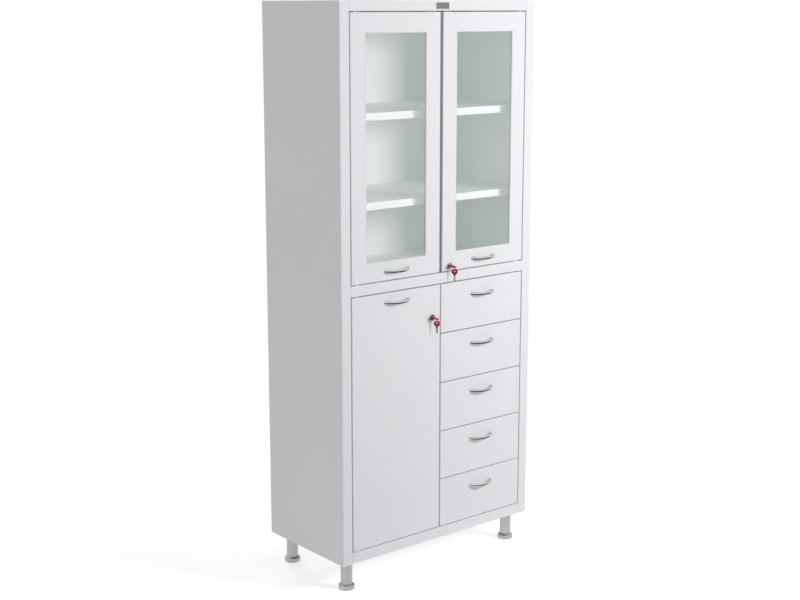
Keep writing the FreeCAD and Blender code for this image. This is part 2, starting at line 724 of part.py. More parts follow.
def slide_inner(number):
    """Members fixed to the tray."""
    step = SLIDE_SHEET + SLIDE_CLEAR
    return slide_member(number, SLIDE_WIDTH, -INNER_DEEP, SLIDE_HALF - 2 * step)


# Export

os.makedirs("parts", exist_ok=True)

left_side = side_panel()
save("left_side_panel", left_side)
save("right_side_panel", mirrored(left_side))
save("top_panel", top_panel())
save("base_pan", base_pan())
save("floor_panel", floor_panel())
save("middle_deck", middle_deck())
save("back_panels", *back_panels())
save("centre_partition", partition())
save("slide_uprights", *uprights())
shelves = [shelf(*span) for span in shelf_spans()]
save("upper_shelves", *shelves[:2])
save("lower_shelf", shelves[2])
save("shelf_clips", *shelf_clips())
save("hinge_pins", *hinge_pins())
save("legs", *[leg(place) for place in leg_places().values()])
for name, place in leg_places().items():
    save(name + "_foot", foot(place))

save("upper_left_door_frame", upper_left_frame())
save("upper_left_glass", glass(-LEAF_OUT, -UPPER_IN))
save("upper_left_handle", bow_handle(-(LEAF_OUT + UPPER_IN) / 2, UPPER_LOW + DOOR_HANDLE_IN))
save("upper_right_door_frame", upper_right_frame())
save("upper_right_glass", glass(UPPER_IN, LEAF_OUT))
save("upper_right_handle", bow_handle((LEAF_OUT + UPPER_IN) / 2, UPPER_LOW + DOOR_HANDLE_IN))
save("lower_door_panel", lower_panel())
save("lower_door_handle", bow_handle(-(LEAF_OUT + LOWER_IN) / 2, LOWER_HIGH - DOOR_HANDLE_IN))

for name, lock, cam_angle in (("upper", UPPER_LOCK, 0), ("lower", LOWER_LOCK, 90)):
    save(name + "_lock_housing", *lock_housing(lock))
    save(name + "_lock_barrel", *lock_barrel(lock, cam_angle))
    save(name + "_key", key_in(lock))
    save(name + "_spare_key", *spare_key(lock))

outer_members = []
for number in range(1, DRAWERS + 1):
    name = "drawer_%d" % number
    save(name + "_front", drawer_front(number))
    save(name + "_tray", *tray(number))
    handle_z = drawer_low(number) + FRONT_HEIGHT - DRAWER_HANDLE_IN
    save(name + "_handle", bow_handle((LEAF_OUT + LOWER_IN) / 2, handle_z))
    save(name + "_slide_inner", *slide_inner(number))
    save(name + "_slide_middle", *slide_middle(number))
    outer_members += slide_outer(number)
save("slide_outer_members", *outer_members)
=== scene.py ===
import json
import math

import bmesh
import bpy
from mathutils import Matrix, Vector


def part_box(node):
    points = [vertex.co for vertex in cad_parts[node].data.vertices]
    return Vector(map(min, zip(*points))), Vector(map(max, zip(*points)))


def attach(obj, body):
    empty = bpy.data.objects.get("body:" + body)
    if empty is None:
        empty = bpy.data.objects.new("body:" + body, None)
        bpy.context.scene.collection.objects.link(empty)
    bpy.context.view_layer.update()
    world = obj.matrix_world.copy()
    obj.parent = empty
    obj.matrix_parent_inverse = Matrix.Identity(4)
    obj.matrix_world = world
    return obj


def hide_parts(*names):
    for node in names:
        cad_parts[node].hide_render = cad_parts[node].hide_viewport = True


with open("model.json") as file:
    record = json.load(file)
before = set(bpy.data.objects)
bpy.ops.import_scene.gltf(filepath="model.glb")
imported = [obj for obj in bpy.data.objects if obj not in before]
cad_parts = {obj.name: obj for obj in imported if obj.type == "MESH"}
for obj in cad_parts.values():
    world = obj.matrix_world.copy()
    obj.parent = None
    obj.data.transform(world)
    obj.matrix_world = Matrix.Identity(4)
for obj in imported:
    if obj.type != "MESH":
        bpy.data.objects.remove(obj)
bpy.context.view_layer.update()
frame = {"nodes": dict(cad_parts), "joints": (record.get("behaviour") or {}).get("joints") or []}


# Carcass: sides, top, base, floor, deck, back, partition and the uprights of the drawers.
# Cold-rolled steel sheet, folded and spot welded, then powder coated near white.
# The satin coat drifts a little in tone and has a faint orange peel close up.
MM = 0.001
CARCASS_SHEETS = ["left_side_panel", "right_side_panel", "top_panel", "base_pan", "floor_panel",
                  "middle_deck", "back_panels", "centre_partition", "slide_uprights"]
COAT_PALE, COAT_DEEP = (0.86, 0.863, 0.878, 1.0), (0.826, 0.83, 0.847, 1.0)
# Grey painted shade for the gap between the upper doors, over the white meeting strip, with a soft edge.
GAP_SHADE_GREY, GAP_SHADE_SOFT = (0.24, 0.24, 0.247, 1.0), 0.1 * MM


class Term:
    """One output in a node tree; arithmetic on it adds Math nodes."""

    def __init__(self, owner, socket):
        self.owner = owner
        self.socket = socket

    def other(self, name):
        """Another output of the same node."""
        return Term(self.owner, self.socket.node.outputs[name])

    def result(self, operation, first, second):
        return self.owner.node("ShaderNodeMath", {"operation": operation}, {0: first, 1: second})

    def __add__(self, value):
        return self.result("ADD", self, value)

    def __sub__(self, value):
        return self.result("SUBTRACT", self, value)

    def __rsub__(self, value):
        return self.result("SUBTRACT", value, self)

    def __mul__(self, value):
        return self.result("MULTIPLY", self, value)

    __radd__ = __add__
    __rmul__ = __mul__


class Tree:
    """A node tree whose nodes each come from one call."""

    def __init__(self, tree):
        self.tree = tree
        self.tree.nodes.clear()

    def node(self, kind, settings=None, sockets=None, out=0):
        """Adds a node: its settings first, then values or links for its sockets."""
        made = self.tree.nodes.new(kind)
        for key, value in (settings or {}).items():
            setattr(made, key, value)
        for key, value in (sockets or {}).items():
            for item in value if isinstance(value, list) else [value]:
                if isinstance(item, Term):
                    self.tree.links.new(item.socket, made.inputs[key])
                else:
                    made.inputs[key].default_value = item
        return Term(self, made.outputs[out]) if made.outputs else None


class Finish(Tree):
    """A material, written on the piece's own coordinates."""

    def __init__(self, name):
        self.material = bpy.data.materials.new(name)
        self.material.use_nodes = True
        super().__init__(self.material.node_tree)
        self.place = self.node("ShaderNodeTexCoord", out="Object")

    def mapped(self, offset=(0, 0, 0), scale=(1, 1, 1)):
        """Coordinates moved and stretched for one pattern."""
        return self.node("ShaderNodeMapping", None,
                         {"Vector": self.place, "Location": offset, "Scale": scale})

    def noise(self, scale, detail=2.0, place=None):
        return self.node("ShaderNodeTexNoise", None,
                         {"Vector": place or self.place, "Scale": scale, "Detail": detail})

    def ramp(self, value, low, high):
        """0 to 1 as the value goes from low to high, smoothly."""
        return self.node("ShaderNodeMapRange", {"interpolation_type": "SMOOTHSTEP"},
                         {"Value": value, "From Min": low, "From Max": high})

    def tint(self, factor, first, second):
        """Colour between two colours."""
        colours = {0: factor, 6: first, 7: second}
        return self.node("ShaderNodeMix", {"data_type": "RGBA"}, colours, 2)

    def bump(self, height, strength, distance):
        return self.node("ShaderNodeBump", None,
                         {"Strength": strength, "Distance": distance, "Height": height})

    def principled(self, sockets):
        return self.node("ShaderNodeBsdfPrincipled", None, sockets)

    def close(self, shader):
        """Makes the shader the surface of the material."""
        self.node("ShaderNodeOutputMaterial", None, {"Surface": shader})
        return self


def colour(red, green, blue):
    return (red, green, blue, 1.0)


def powder_coat(name, gap_shade_from=None):
    """Satin powder coat between two close tones; beyond the given x, grey painted shade for a gap."""
    coat = Finish(name)
    drift = coat.noise(2.4, 3.0)
    cloud = coat.noise(26.0, 2.0)
    peel = coat.noise(430.0, 1.0)
    tone = coat.tint(drift * 0.7 + cloud * 0.3, COAT_DEEP, COAT_PALE)
    if gap_shade_from is not None:
        # Beyond the given x the coat is painted grey, standing in for the shade that falls in the gap.
        across = coat.node("ShaderNodeSeparateXYZ", None, {"Vector": coat.place})
        gap_shade = coat.ramp(across, gap_shade_from - GAP_SHADE_SOFT, gap_shade_from + GAP_SHADE_SOFT)
        tone = coat.tint(gap_shade, tone, GAP_SHADE_GREY)
    skin = coat.principled({"Base Color": tone, "Roughness": 0.34 + cloud * 0.08, "IOR": 1.5,
                            "Normal": coat.bump(peel, 0.05, 0.12 * MM)})
    return coat.close(skin)


def dress(finish, names):
    """Gives CAD nodes a finish."""
    for name in names:
        slots = frame["nodes"][name].data.materials
        slots.clear()
        slots.append(finish.material)


white_coat = powder_coat("white_powder_coat")
dress(white_coat, CARCASS_SHEETS)


# Rivets of the back: two back sheets held to the side flanges and to the rear flanges
# of the top, deck and base. Blind rivets with low domed heads, bright zinc on steel.
RIVET = {"Radius": 3.2 * MM, "Rim": 0.5 * MM, "Crown": 0.5 * MM, "Recess": 0.0}
FLANGE_RIVETS, FLANGE_RIVET_IN, FLANGE_RIVET_END = 11, 12 * MM, 30 * MM
SHEET_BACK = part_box("back_panels")[1].y
SHEET_RIVETS, SHEET_RIVET_FIRST, SHEET_RIVET_PITCH = 4, 30 * MM, 95 * MM
SHEET_RIVET_ROWS = [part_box("base_pan")[0].z + 10 * MM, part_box("middle_deck")[1].z - 10 * MM,
                    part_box("top_panel")[1].z - 11 * MM]
ZINC_DULL, ZINC_BRIGHT = colour(0.50, 0.51, 0.53), colour(0.62, 0.63, 0.65)
FASTENER_SIDES = 18
DOME_STEPS = ((0.6, 0.80), (0.3, 0.75), (0.1, 0.6))
RECESS_LENGTH, RECESS_DEPTH = 4.5, 1.2
SPIN_SEED = 7


def zinc_plate(name):
    """Bright zinc plate with a soft spangle and rolling streaks."""
    zinc = Finish(name)
    spangle = zinc.node("ShaderNodeTexVoronoi", None, {"Vector": zinc.place, "Scale": 160.0})
    streak = zinc.noise(700.0, 2.0, zinc.mapped(scale=(1, 0.03, 1)))
    tone = zinc.tint(spangle.other("Color"), ZINC_DULL, ZINC_BRIGHT)
    skin = zinc.principled({"Base Color": tone, "Metallic": 1.0, "Roughness": 0.30 + streak * 0.16,
                            "Normal": zinc.bump(streak, 0.04, 0.1 * MM)})
    return zinc.close(skin)


def node_inputs(tree, sockets):
    """Adds named inputs to a Geometry Nodes tree and gives each one's identifier."""
    made = {}
    for name, kind in sockets:
        socket = tree.interface.new_socket(name, in_out="INPUT", socket_type="NodeSocket" + kind)
        made[name] = socket.identifier
    tree.interface.new_socket("Geometry", in_out="OUTPUT", socket_type="NodeSocketGeometry")
    return made


def fastener_tree():
    """Tree with a domed head on each point, turned to its facing, with or without a cross recess.
    A dome step is a share of the crown's rise and the inset above it. The recess's length is in
    widths of its arm, and its depth in rises of the crown."""
    group = bpy.data.node_groups.new("fastener_heads", "GeometryNodeTree")
    ids = node_inputs(group, [("Points", "Geometry"), ("Radius", "Float"), ("Rim", "Float"),
                              ("Crown", "Float"), ("Recess", "Float"), ("Seed", "Int"),
                              ("Finish", "Material")])
    g = Tree(group)
    given = g.node("NodeGroupInput", out="Points")
    radius, rim, crown = given.other("Radius"), given.other("Rim"), given.other("Crown")
    recess = given.other("Recess")
    disc = g.node("GeometryNodeMeshCylinder", {"fill_type": "NGON"},
                  {"Vertices": FASTENER_SIDES, "Radius": radius, "Depth": rim})
    middle = g.node("ShaderNodeCombineXYZ", None, {"Z": rim * 0.5})
    seated = g.node("GeometryNodeTransform", None, {"Geometry": disc, "Translation": middle})
    top = disc.other("Top")
    for rise, inset in DOME_STEPS:
        grown = g.node("GeometryNodeExtrudeMesh", {"mode": "FACES"},
                       {"Mesh": seated, "Selection": top, "Offset Scale": crown * rise,
                        "Individual": False})
        top = grown.other("Top")
        seated = g.node("GeometryNodeScaleElements", {"domain": "FACE"},
                        {"Geometry": grown, "Selection": top, "Scale": inset})
    deep = crown * RECESS_DEPTH
    arms = []
    for along, across in (("X", "Y"), ("Y", "X")):
        size = g.node("ShaderNodeCombineXYZ", None,
                      {along: recess * RECESS_LENGTH, across: recess, "Z": deep})
        arms.append(g.node("GeometryNodeMeshCube", None, {"Size": size}))
    height = g.node("ShaderNodeCombineXYZ", None, {"Z": rim + crown})
    arms = [g.node("GeometryNodeTransform", None, {"Geometry": arm, "Translation": height}) for arm in arms]
    crossed = g.node("GeometryNodeMeshBoolean", {"operation": "DIFFERENCE"},
                     {"Mesh 1": seated, "Mesh 2": arms})
    has_recess = g.node("FunctionNodeCompare", {"operation": "GREATER_THAN"}, {0: recess, 1: 0.0})
    head = g.node("GeometryNodeSwitch", {"input_type": "GEOMETRY"},
                  {"Switch": has_recess, "False": seated, "True": crossed})
    points = g.node("GeometryNodeMeshToPoints", None, {"Mesh": given})
    facing = g.node("GeometryNodeInputNamedAttribute", {"data_type": "FLOAT_VECTOR"}, {"Name": "facing"})
    aim = g.node("FunctionNodeAlignRotationToVector", {"axis": "Z"}, {"Vector": facing})
    placed = g.node("GeometryNodeInstanceOnPoints", None,
                    {"Points": points, "Instance": head, "Rotation": aim})
    turn = g.node("FunctionNodeRandomValue", {"data_type": "FLOAT"},
                  {2: 0.0, 3: math.tau, "Seed": given.other("Seed")}, 1)
    spin = g.node("ShaderNodeCombineXYZ", None, {"Z": turn})
    spun = g.node("GeometryNodeRotateInstances", None, {"Instances": placed, "Rotation": spin})
    solid = g.node("GeometryNodeRealizeInstances", None, {"Geometry": spun})
    done = g.node("GeometryNodeSetMaterial", None, {"Geometry": solid, "Material": given.other("Finish")})
    g.node("NodeGroupOutput", None, {"Geometry": done})
    return group, ids


def linked(name, mesh):
    """New object in the scene."""
    made = bpy.data.objects.new(name, mesh)
    bpy.context.scene.collection.objects.link(made)
    return made


def point_cloud(name, spots, facing, side=(1, 0, 0)):
    """Bare points, each with the way it faces and its sideways direction."""
    mesh = bpy.data.meshes.new(name)
    mesh.from_pydata([tuple(spot) for spot in spots], [], [])
    for label, direction in (("facing", facing), ("side", side)):
        values = direction if isinstance(direction, list) else [direction] * len(spots)
        layer = mesh.attributes.new(label, "FLOAT_VECTOR", "POINT")
        for entry, value in zip(layer.data, values):
            entry.vector = value
    return linked(name, mesh)


def grown_mesh(host, group, ids, values):
    """Runs a Geometry Nodes tree on an object and gives the result as a plain mesh."""
    modifier = host.modifiers.new("grow", "NODES")
    modifier.node_group = group
    for name, value in values.items():
        modifier[ids[name]] = value
    graph = bpy.context.evaluated_depsgraph_get()
    mesh = bpy.data.meshes.new_from_object(host.evaluated_get(graph))
    bare = host.data
    bpy.data.objects.remove(host)
    bpy.data.meshes.remove(bare)
    return mesh


def seat(name, mesh, body):
    """Puts a finished mesh on a body."""
    piece = linked(name, mesh)
    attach(piece, body)
    return piece


FASTENERS, FASTENER_IDS = fastener_tree()


def fasten(name, body, spots, facing, head):
    """One mesh of like fastener heads in bright zinc, on one body."""
    host = point_cloud(name + "_points", spots, facing)
    sizes = {**head, "Seed": SPIN_SEED, "Finish": bright_zinc.material}
    seat(name, grown_mesh(host, FASTENERS, FASTENER_IDS, sizes), body)


bright_zinc = zinc_plate("bright_zinc")
low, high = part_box("right_side_panel")
flange_pitch = (high.z - low.z - 2 * FLANGE_RIVET_END) / (FLANGE_RIVETS - 1)
spots = []
for side in (-1, 1):
    for i in range(FLANGE_RIVETS):
        z = low.z + FLANGE_RIVET_END + flange_pitch * i
        spots.append((side * (high.x - FLANGE_RIVET_IN), high.y, z))
    for z in SHEET_RIVET_ROWS:
        for i in range(SHEET_RIVETS):
            spots.append((side * (SHEET_RIVET_FIRST + SHEET_RIVET_PITCH * i), SHEET_BACK, z))
fasten("back_rivets", "carcass", spots, (0, 1, 0), RIVET)


# Shelves and their clips: shelf pans pressed from the same coated sheet, hung on bent
# steel angle clips with a zinc plate, four to a shelf.
dress(white_coat, ["upper_shelves", "lower_shelf"])
dress(bright_zinc, ["shelf_clips"])


# Pivot hinges: turned steel pins riveted into the rails, zinc plated, each with a white
# nylon washer in the gap that carries the door.
JOINTS = {joint["name"]: joint for joint in frame["joints"]}
PIVOT = JOINTS["upper_right_door_hinge"]["pos_m"]
WASHER_FROM, WASHER_SOFT = 6.3 * MM, 0.05 * MM


def pivot_finish(name):
    """Zinc near the pin's axis, nylon on the wider washer."""
    pin = Finish(name)
    spot = pin.node("ShaderNodeSeparateXYZ", None, {"Vector": pin.place})
    across = pin.node("ShaderNodeMath", {"operation": "ABSOLUTE"}, {0: spot}) - PIVOT[0]
    along = spot.other("Y") - PIVOT[1]
    reach = pin.node("ShaderNodeMath", {"operation": "SQRT"}, {0: across * across + along * along})
    nylon = pin.ramp(reach, WASHER_FROM - WASHER_SOFT, WASHER_FROM + WASHER_SOFT)
    grain = pin.noise(300.0, 3.0)
    steel = pin.tint(grain, ZINC_DULL, ZINC_BRIGHT)
    white = pin.tint(grain, colour(0.80, 0.80, 0.79), colour(0.86, 0.86, 0.85))
    skin = pin.principled({"Base Color": pin.tint(nylon, steel, white), "Metallic": 1 - nylon,
                           "Roughness": 0.3 + nylon * 0.2 + grain * 0.1})
    return pin.close(skin)


dress(pivot_finish("pivot_steel_and_nylon"), ["hinge_pins"])


# Legs and levelling feet: steel tube with a welded plate, four screws to the base, and a
# turned collar foot on a threaded stem. Satin nickel plate, brushed round the tube.
FEET = ["front_left_foot", "rear_left_foot", "front_right_foot", "rear_right_foot"]
LEG_PLATE, LEG_SCREW_CIRCLE = 2.5 * MM, 27 * MM
SCREW = {"Radius": 3.6 * MM, "Rim": 0.7 * MM, "Crown": 1.3 * MM, "Recess": 0.8 * MM}
TUBE_BRUSHING = (60, 60, 2600)


def middle_of(node):
    """Middle of a CAD node's box."""
    low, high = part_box(node)
    return (low + high) / 2


def satin_nickel(name, stretch):
    """Brushed nickel; the brush marks run along the axes with a small stretch."""
    nickel = Finish(name)
    brushed = nickel.noise(1.0, 3.0, nickel.mapped(scale=stretch))
    cloud = nickel.noise(38.0, 2.0)
    dull, bright = colour(0.38, 0.38, 0.376), colour(0.49, 0.49, 0.485)
    tone = nickel.tint(cloud * 0.5 + brushed * 0.5, dull, bright)
    skin = nickel.principled({"Base Color": tone, "Metallic": 1.0, "Roughness": 0.22 + brushed * 0.18,
                              "Normal": nickel.bump(brushed, 0.06, 0.05 * MM)})
    return nickel.close(skin)


dress(satin_nickel("brushed_tube_nickel", TUBE_BRUSHING), ["legs"] + FEET)
plate_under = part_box("legs")[1].z - LEG_PLATE
spots = []
for foot in FEET:
    axis = middle_of(foot)
    for quarter in range(4):
        angle = math.radians(45 + 90 * quarter)
        offset = Vector((math.cos(angle), math.sin(angle), 0)) * LEG_SCREW_CIRCLE
        spots.append(Vector((axis.x, axis.y, plate_under)) + offset)
fasten("leg_screws", "carcass", spots, (0, 0, -1), SCREW)


# Blank plate in the middle of the top rail: pressed aluminium with a bare rim and a
# grey enamelled field, left blank, held on by its adhesive back.
PLATE_WIDTH, PLATE_HEIGHT, PLATE_RIGHT = 55 * MM, 22 * MM, 2 * MM
PLATE_THICK, PLATE_EDGE = 1.2 * MM, 0.35 * MM
PLATE_CORNER, PLATE_RIM = 2.5 * MM, 2.2 * MM
FIELD_THICK, FIELD_EDGE = 0.6 * PLATE_THICK, PLATE_EDGE / 4
EDGE_STEPS, SEAM = 2, 0.002 * MM
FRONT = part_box("top_panel")[0].y


def rounded_outline(width, height, corner, steps=6):
    """Closed outline of a rectangle with round corners, about its middle."""
    points = []
    for quarter, (sx, sy) in enumerate(((1, 1), (-1, 1), (-1, -1), (1, -1))):
        for i in range(steps + 1):
            angle = math.radians(90 * quarter + 90 * i / steps)
            points.append((sx * (width / 2 - corner) + corner * math.cos(angle),
                           sy * (height / 2 - corner) + corner * math.sin(angle)))
    return points


def pressed(outlines, thick, edge, lie, finish):
    """Flat plate from closed outlines, holes included, with rounded edges, laid by a matrix."""
    curve = bpy.data.curves.new("pressed", "CURVE")
    curve.dimensions = "2D"
    curve.fill_mode = "BOTH"
    curve.extrude = thick / 2 - edge
    curve.bevel_depth = edge
    curve.bevel_resolution = EDGE_STEPS
    curve.offset = -edge
    for outline in outlines:
        spline = curve.splines.new("POLY")
        spline.points.add(len(outline) - 1)
        for point, (x, y) in zip(spline.points, outline):
            point.co = (x, y, 0, 1)
        spline.use_cyclic_u = True
    host = linked("pressed", curve)
    graph = bpy.context.evaluated_depsgraph_get()
    mesh = bpy.data.meshes.new_from_object(host.evaluated_get(graph))
    bpy.data.objects.remove(host)
    bpy.data.curves.remove(curve)
    sew(mesh)
    mesh.transform(lie)
    mesh.materials.clear()
    mesh.materials.append(finish.material)
    return mesh


def sew(mesh):
    """Closes the seams of a mesh and turns its faces outwards."""
    shape = bmesh.new()
    shape.from_mesh(mesh)
    bmesh.ops.remove_doubles(shape, verts=shape.verts, dist=SEAM)
    bmesh.ops.recalc_face_normals(shape, faces=shape.faces)
    shape.to_mesh(mesh)
    shape.free()


def joined(meshes):
    """Several meshes as one, each keeping its own finish."""
    whole = bpy.data.meshes.new("joined")
    shape = bmesh.new()
    for mesh in meshes:
        already = len(shape.faces)
        shape.from_mesh(mesh)
        shape.faces.ensure_lookup_table()
        if mesh.materials[0].name not in whole.materials:
            whole.materials.append(mesh.materials[0])
        for face in shape.faces[already:]:
            face.material_index = whole.materials.find(mesh.materials[0].name)
        bpy.data.meshes.remove(mesh)
    shape.to_mesh(whole)
    shape.free()
    return whole


def facing_front(x, y, z):
    """Lays a plate upright with its face to the front, its middle at a place."""
    return Matrix.Translation((x, y, z)) @ Matrix.Rotation(math.radians(90), 4, "X")


def plate_metal(name):
    """Bare aluminium rim, fine brushed along its length."""
    rim = Finish(name)
    brushed = rim.noise(1.0, 2.0, rim.mapped(scale=(90, 900, 2200)))
    tone = rim.tint(brushed, colour(0.56, 0.56, 0.57), colour(0.68, 0.68, 0.69))
    skin = rim.principled({"Base Color": tone, "Metallic": 1.0, "Roughness": 0.32 + brushed * 0.14})
    return rim.close(skin)


def grey_enamel(name):
    """Mid grey stoving enamel with a little depth of tone."""
    enamel = Finish(name)
    cloud = enamel.noise(240.0, 3.0)
    tone = enamel.tint(cloud, colour(0.17, 0.172, 0.178), colour(0.23, 0.232, 0.238))
    skin = enamel.principled({"Base Color": tone, "Roughness": 0.36 + cloud * 0.12,
                              "Normal": enamel.bump(cloud, 0.05, 0.05 * MM)})
    return enamel.close(skin)


plate_z = middle_of("top_panel").z
outer = rounded_outline(PLATE_WIDTH, PLATE_HEIGHT, PLATE_CORNER)
inner = rounded_outline(PLATE_WIDTH - 2 * PLATE_RIM, PLATE_HEIGHT - 2 * PLATE_RIM, PLATE_CORNER / 2)
lie = facing_front(PLATE_RIGHT, FRONT - PLATE_THICK / 2, plate_z)
rim = pressed([outer, inner], PLATE_THICK, PLATE_EDGE, lie, plate_metal("plate_rim_aluminium"))
lie = facing_front(PLATE_RIGHT, FRONT - FIELD_THICK / 2, plate_z)
field = pressed([inner], FIELD_THICK, FIELD_EDGE, lie, grey_enamel("plate_enamel"))
seat("blank_plate", joined([rim, field]), "carcass")


# Upper doors: folded frames in coated sheet with clear float glass behind the window
# folds, bedded on a pale extruded bead and held by bent clips screwed inside the frame.
GLASS_FRONT, GLASS_BACK = [corner.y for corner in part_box("upper_left_glass")]
GLASS_LAP, GLASS_SKIN = 8 * MM, 1 * MM
SHEET = 1 * MM
PAN_FACE = FRONT + SHEET
# Width of the grey painted gap shade at the left door's meeting edge.
GAP_SHADE_WIDTH = 10.4 * MM
BEAD_SECTION = [(0.05, 0.05), (0.05, 2.8), (0.6, 3.1), (1.8, 2.9), (2.3, 2.4), (2.5, 0.05)]
CLIP_UP, CLIP_ACROSS = [98 * MM, 268 * MM, 448 * MM, 618 * MM], [78 * MM, 178 * MM]
CLIP_OFF, CLIP_SCREW, BEND_STEPS = 1 * MM, 7.7 * MM, 3
CLIP_SIZES = {"Foot": 14 * MM, "Rise": GLASS_BACK - PAN_FACE, "Tab": 8 * MM, "Width": 14 * MM,
              "Thickness": 0.9 * MM, "Bend": 0.9 * MM, "Finish": bright_zinc.material}


def float_glass(name):
    """Clear glass: see-through, with a pale green sheen of reflections on its front face."""
    pane = Finish(name)
    ripple = pane.noise(6.0, 2.0)
    depth = pane.node("ShaderNodeSeparateXYZ", None, {"Vector": pane.place}, "Y")
    behind = pane.ramp(depth, GLASS_FRONT + GLASS_SKIN, GLASS_BACK - GLASS_SKIN)
    front, back = colour(0.28, 0.335, 0.31), colour(0.02, 0.024, 0.022)
    tone = pane.tint(behind, front, back)
    sheen = pane.principled({"Base Color": tone, "Metallic": 1.0, "Roughness": 0.02 + ripple * 0.02})
    through = pane.node("ShaderNodeBsdfTransparent", None, {"Color": colour(0.925, 0.915, 0.919)})
    return pane.close(pane.node("ShaderNodeAddShader", None, {0: through, 1: sheen}))


def pale_vinyl(name):
    """Extruded vinyl bead with faint die lines and dust."""
    vinyl = Finish(name)
    lines = vinyl.noise(1400.0, 1.0)
    cloud = vinyl.noise(60.0, 2.0)
    tone = vinyl.tint(cloud, colour(0.74, 0.75, 0.76), colour(0.80, 0.81, 0.82))
    skin = vinyl.principled({"Base Color": tone, "Roughness": 0.5 + lines * 0.12})
    return vinyl.close(skin)


def window_bead(low, high, finish):
    """Mitred bead round the window of a pane's box: each section point, in mm, makes one rectangle."""
    mesh = bpy.data.meshes.new("bead")
    shape = bmesh.new()
    rows = []
    for inward, forward in BEAD_SECTION:
        inset = GLASS_LAP + inward * MM
        left, right = low.x + inset, high.x - inset
        bottom, top = low.z + inset, high.z - inset
        corners = [(left, bottom), (right, bottom), (right, top), (left, top)]
        rows.append([shape.verts.new((x, GLASS_FRONT - forward * MM, z)) for x, z in corners])
    for row, following in zip(rows, rows[1:] + rows[:1]):
        for i in range(4):
            j = (i + 1) % 4
            shape.faces.new((row[i], row[j], following[j], following[i]))
    bmesh.ops.recalc_face_normals(shape, faces=shape.faces)
    shape.to_mesh(mesh)
    shape.free()
    mesh.materials.append(finish.material)
    return mesh


def strip_clip_tree():
    """Tree with a bent strip clip on each point: foot, rise and tab, filleted at the bends."""
    group = bpy.data.node_groups.new("strip_clips", "GeometryNodeTree")
    ids = node_inputs(group, [("Points", "Geometry"), ("Foot", "Float"), ("Rise", "Float"),
                              ("Tab", "Float"), ("Width", "Float"), ("Thickness", "Float"),
                              ("Bend", "Float"), ("Finish", "Material")])
    g = Tree(group)
    given = g.node("NodeGroupInput", out="Points")
    foot, rise, tab = given.other("Foot"), given.other("Rise"), given.other("Tab")
    thick = given.other("Thickness")
    low, high = thick * 0.5, rise + thick * 0.5
    corners = [(foot * -1.0, low), (0.0, low), (0.0, high), (tab, high)]
    path = g.node("GeometryNodeMeshLine", None, {"Count": len(corners)})
    index = g.node("GeometryNodeInputIndex")
    places = [g.node("ShaderNodeCombineXYZ", None, {"X": x, "Z": z}) for x, z in corners]
    # The switch is made by hand, because it needs its items before its links.
    switch = g.tree.nodes.new("GeometryNodeIndexSwitch")
    switch.data_type = "VECTOR"
    for _ in range(len(places) - len(switch.index_switch_items)):
        switch.index_switch_items.new()
    g.tree.links.new(index.socket, switch.inputs["Index"])
    for i, place in enumerate(places):
        g.tree.links.new(place.socket, switch.inputs[i + 1])
    position = Term(g, switch.outputs[0])
    bent = g.node("GeometryNodeSetPosition", None, {"Geometry": path, "Position": position})
    line = g.node("GeometryNodeMeshToCurve", None, {"Mesh": bent})
    line = g.node("GeometryNodeFilletCurve", {"mode": "POLY"},
                  {"Curve": line, "Count": BEND_STEPS, "Radius": given.other("Bend")})
    section = g.node("GeometryNodeCurvePrimitiveQuadrilateral", None,
                     {"Width": given.other("Width"), "Height": thick})
    strip = g.node("GeometryNodeCurveToMesh", None,
                   {"Curve": line, "Profile Curve": section, "Fill Caps": True})
    points = g.node("GeometryNodeMeshToPoints", None, {"Mesh": given})
    facing = g.node("GeometryNodeInputNamedAttribute", {"data_type": "FLOAT_VECTOR"}, {"Name": "facing"})
    side = g.node("GeometryNodeInputNamedAttribute", {"data_type": "FLOAT_VECTOR"}, {"Name": "side"})
    aim = g.node("FunctionNodeAlignRotationToVector", {"axis": "Z"}, {"Vector": facing})
    aim = g.node("FunctionNodeAlignRotationToVector", {"axis": "X", "pivot_axis": "Z"},
                 {"Rotation": aim, "Vector": side})
    placed = g.node("GeometryNodeInstanceOnPoints", None,
                    {"Points": points, "Instance": strip, "Rotation": aim})
    solid = g.node("GeometryNodeRealizeInstances", None, {"Geometry": placed})
    done = g.node("GeometryNodeSetMaterial", None, {"Geometry": solid, "Material": given.other("Finish")})
    g.node("NodeGroupOutput", None, {"Geometry": done})
    return group, ids


STRIP_CLIPS, STRIP_CLIP_IDS = strip_clip_tree()
clear_glass = float_glass("clear_float_glass")
bead_vinyl = pale_vinyl("bead_vinyl")
# The white meeting strip on the left door is painted grey as the shade in the gap between the doors.
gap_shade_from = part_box("upper_left_door_frame")[1].x - GAP_SHADE_WIDTH
dress(powder_coat("white_coat_and_painted_gap_shade", gap_shade_from), ["upper_left_door_frame"])
dress(white_coat, ["upper_right_door_frame"])
dress(clear_glass, ["upper_left_glass", "upper_right_glass"])
door_screws = {}
for door in ("upper_left", "upper_right"):
    body = door + "_door"
    low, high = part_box(door + "_glass")
    seat(door + "_glazing_bead", window_bead(low, high, bead_vinyl), body)
    spots, sides = [], []
    for up in CLIP_UP:
        z = low.z + up
        spots += [(low.x - CLIP_OFF, PAN_FACE, z), (high.x + CLIP_OFF, PAN_FACE, z)]
        sides += [(1, 0, 0), (-1, 0, 0)]
    for across in CLIP_ACROSS:
        x = low.x + across
        spots += [(x, PAN_FACE, low.z - CLIP_OFF), (x, PAN_FACE, high.z + CLIP_OFF)]
        sides += [(0, 0, 1), (0, 0, -1)]
    host = point_cloud(door + "_clip_points", spots, (0, 1, 0), sides)
    clips = grown_mesh(host, STRIP_CLIPS, STRIP_CLIP_IDS, CLIP_SIZES)
    seat(door + "_glazing_clips", clips, body)
    lift = Vector((0, CLIP_SIZES["Thickness"], 0))
    door_screws[body] = [Vector(spot) - Vector(side) * CLIP_SCREW + lift for spot, side in zip(spots, sides)]


